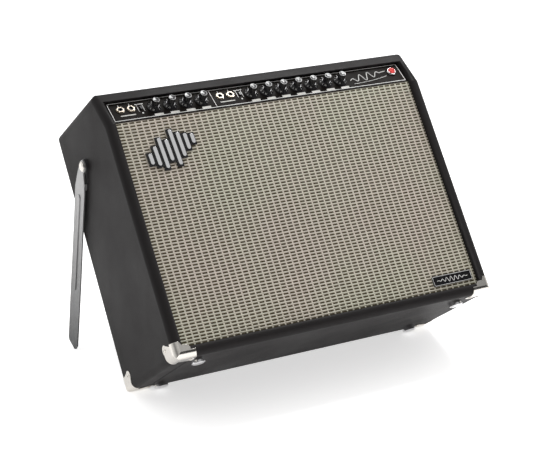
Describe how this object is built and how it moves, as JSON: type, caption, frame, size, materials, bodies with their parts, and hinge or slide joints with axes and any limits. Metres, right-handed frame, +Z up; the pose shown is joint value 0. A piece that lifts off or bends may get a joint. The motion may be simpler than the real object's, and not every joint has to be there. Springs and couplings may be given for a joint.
{
  "type": "guitar amplifier",
  "caption": "Combo guitar amplifier leaning back on side legs, with woven grille, sloping control panel, turning knobs and open back with loudspeakers.",
  "frame": {"origin": "on the floor, below the middle of the amplifier as it leans back on its open legs", "axes": "+Z up from the floor, +X toward the pilot lamp end of the control panel, -Y out of the grille; the cabinet leans back by 35.5 degrees about X"},
  "size_m": [0.687, 0.5038, 0.5341],
  "materials": {
    "wood": "planed pine",
    "plywood": "plywood",
    "vinyl": "textured black vinyl covering",
    "cloth": "woven cloth with dark dashes",
    "nickel": "nickel plated",
    "chrome": "polished",
    "black_plastic": "moulded",
    "panel_paint": "black gloss",
    "aluminium": "folded sheet",
    "steel": "zinc plated",
    "dark_steel": "black",
    "zinc": "zinc plated",
    "paper": "pressed pulp",
    "suspension": "doped cloth",
    "board_green": "solder mask",
    "jewel": "faceted red",
    "wire": "insulated",
    "grip": "moulded strap"
  },
  "bodies": {
    "cabinet": {"left_side_board": "wood", "right_side_board": "wood", "top_board": "wood", "bottom_board": "wood", "vinyl_covering": "vinyl", "cleats": "wood", "baffle_board": "plywood", "grille_cloth": "cloth", "emblem_backing": "black_plastic", "emblem_bars": "chrome", "name_plate": "black_plastic", "chassis": "aluminium", "control_panel": "panel_paint", "input_jacks": "black_plastic", "panel_nuts": "nickel", "potentiometers": "zinc", "switch_frames": "zinc", "lamp_holder": "chrome", "lamp_jewel": "jewel", "circuit_boards": "board_green", "power_supply": "aluminium", "mains_inlet": "black_plastic", "rear_sockets": "black_plastic", "corner_protectors": "nickel", "case_screws": "nickel", "glides": "chrome", "handle_strap": "grip", "handle_caps": "nickel", "chassis_straps": "nickel", "chassis_bolts": "nickel", "upper_back_panel": "vinyl", "lower_back_panel": "vinyl", "speaker_frames": "dark_steel", "speaker_magnets": "dark_steel", "speaker_suspensions": "suspension", "speaker_bolts": "zinc", "speaker_leads": "wire", "leg_brackets": "dark_steel", "leg_pivot_bolts": "nickel"},
    "knob_01": {"knob_01": "black_plastic"},
    "knob_02": {"knob_02": "black_plastic"},
    "knob_03": {"knob_03": "black_plastic"},
    "knob_04": {"knob_04": "black_plastic"},
    "knob_05": {"knob_05": "black_plastic"},
    "knob_06": {"knob_06": "black_plastic"},
    "knob_07": {"knob_07": "black_plastic"},
    "knob_08": {"knob_08": "black_plastic"},
    "knob_09": {"knob_09": "black_plastic"},
    "knob_10": {"knob_10": "black_plastic"},
    "knob_11": {"knob_11": "black_plastic"},
    "left_bright_slider": {"left_bright_slider": "black_plastic"},
    "right_bright_slider": {"right_bright_slider": "black_plastic"},
    "left_leg": {"left_leg": "steel"},
    "right_leg": {"right_leg": "steel"},
    "left_speaker_cone": {"left_speaker_cone": "paper"},
    "right_speaker_cone": {"right_speaker_cone": "paper"},
    "power_rocker": {"power_rocker": "black_plastic"},
    "mute_toggle": {"mute_toggle": "chrome"},
    "power_selector_knob": {"power_selector_knob": "black_plastic"}
  },
  "joints": [
    {"name": "knob_01_turn", "type": "hinge", "parent": "cabinet", "child": "knob_01", "pos_m": [-0.2235, 0.0456, 0.50746], "axis": [0, -0.499, 0.8666], "range_deg": [-150, 150]},
    {"name": "knob_02_turn", "type": "hinge", "parent": "cabinet", "child": "knob_02", "pos_m": [-0.1915, 0.0456, 0.50746], "axis": [0, -0.499, 0.8666], "range_deg": [-150, 150]},
    {"name": "knob_03_turn", "type": "hinge", "parent": "cabinet", "child": "knob_03", "pos_m": [-0.1595, 0.0456, 0.50746], "axis": [0, -0.499, 0.8666], "range_deg": [-150, 150]},
    {"name": "knob_04_turn", "type": "hinge", "parent": "cabinet", "child": "knob_04", "pos_m": [-0.1275, 0.0456, 0.50746], "axis": [0, -0.499, 0.8666], "range_deg": [-150, 150]},
    {"name": "knob_05_turn", "type": "hinge", "parent": "cabinet", "child": "knob_05", "pos_m": [-0.024, 0.0456, 0.50746], "axis": [0, -0.499, 0.8666], "range_deg": [-150, 150]},
    {"name": "knob_06_turn", "type": "hinge", "parent": "cabinet", "child": "knob_06", "pos_m": [0.0083, 0.0456, 0.50746], "axis": [0, -0.499, 0.8666], "range_deg": [-150, 150]},
    {"name": "knob_07_turn", "type": "hinge", "parent": "cabinet", "child": "knob_07", "pos_m": [0.0406, 0.0456, 0.50746], "axis": [0, -0.499, 0.8666], "range_deg": [-150, 150]},
    {"name": "knob_08_turn", "type": "hinge", "parent": "cabinet", "child": "knob_08", "pos_m": [0.0729, 0.0456, 0.50746], "axis": [0, -0.499, 0.8666], "range_deg": [-150, 150]},
    {"name": "knob_09_turn", "type": "hinge", "parent": "cabinet", "child": "knob_09", "pos_m": [0.1052, 0.0456, 0.50746], "axis": [0, -0.499, 0.8666], "range_deg": [-150, 150]},
    {"name": "knob_10_turn", "type": "hinge", "parent": "cabinet", "child": "knob_10", "pos_m": [0.1375, 0.0456, 0.50746], "axis": [0, -0.499, 0.8666], "range_deg": [-150, 150]},
    {"name": "knob_11_turn", "type": "hinge", "parent": "cabinet", "child": "knob_11", "pos_m": [0.1698, 0.0456, 0.50746], "axis": [0, -0.499, 0.8666], "range_deg": [-150, 150]},
    {"name": "left_bright_slide", "type": "slide", "parent": "cabinet", "child": "left_bright_slider", "axis": [0, 0.8666, 0.499], "range_m": [0, 0.004]},
    {"name": "right_bright_slide", "type": "slide", "parent": "cabinet", "child": "right_bright_slider", "axis": [0, 0.8666, 0.499], "range_m": [0, 0.004]},
    {"name": "left_leg_swing", "type": "hinge", "parent": "cabinet", "child": "left_leg", "pos_m": [-0.337, 0.11212, 0.39407], "axis": [1, 0, 0], "range_deg": [-47.8, 0]},
    {"name": "right_leg_swing", "type": "hinge", "parent": "cabinet", "child": "right_leg", "pos_m": [0.337, 0.11212, 0.39407], "axis": [1, 0, 0], "range_deg": [-47.8, 0]},
    {"name": "left_speaker_excursion", "type": "slide", "parent": "cabinet", "child": "left_speaker_cone", "axis": [0, 0.7903, -0.6127], "range_m": [-0.004, 0.004], "stiffness_N_per_m": 2500},
    {"name": "right_speaker_excursion", "type": "slide", "parent": "cabinet", "child": "right_speaker_cone", "axis": [0, 0.7903, -0.6127], "range_m": [-0.004, 0.004], "stiffness_N_per_m": 2500},
    {"name": "power_rocker_tilt", "type": "hinge", "parent": "cabinet", "child": "power_rocker", "pos_m": [-0.246, 0.22047, 0.38324], "axis": [-1, 0, 0], "range_deg": [-20, 0]},
    {"name": "mute_toggle_throw", "type": "hinge", "parent": "cabinet", "child": "mute_toggle", "pos_m": [-0.206, 0.22047, 0.38324], "axis": [-1, 0, 0], "range_deg": [-24, 0]},
    {"name": "power_selector_turn", "type": "hinge", "parent": "cabinet", "child": "power_selector_knob", "pos_m": [-0.16, 0.22047, 0.38324], "axis": [0, 0.8141, -0.5807], "range_deg": [0, 150]}
  ]
}
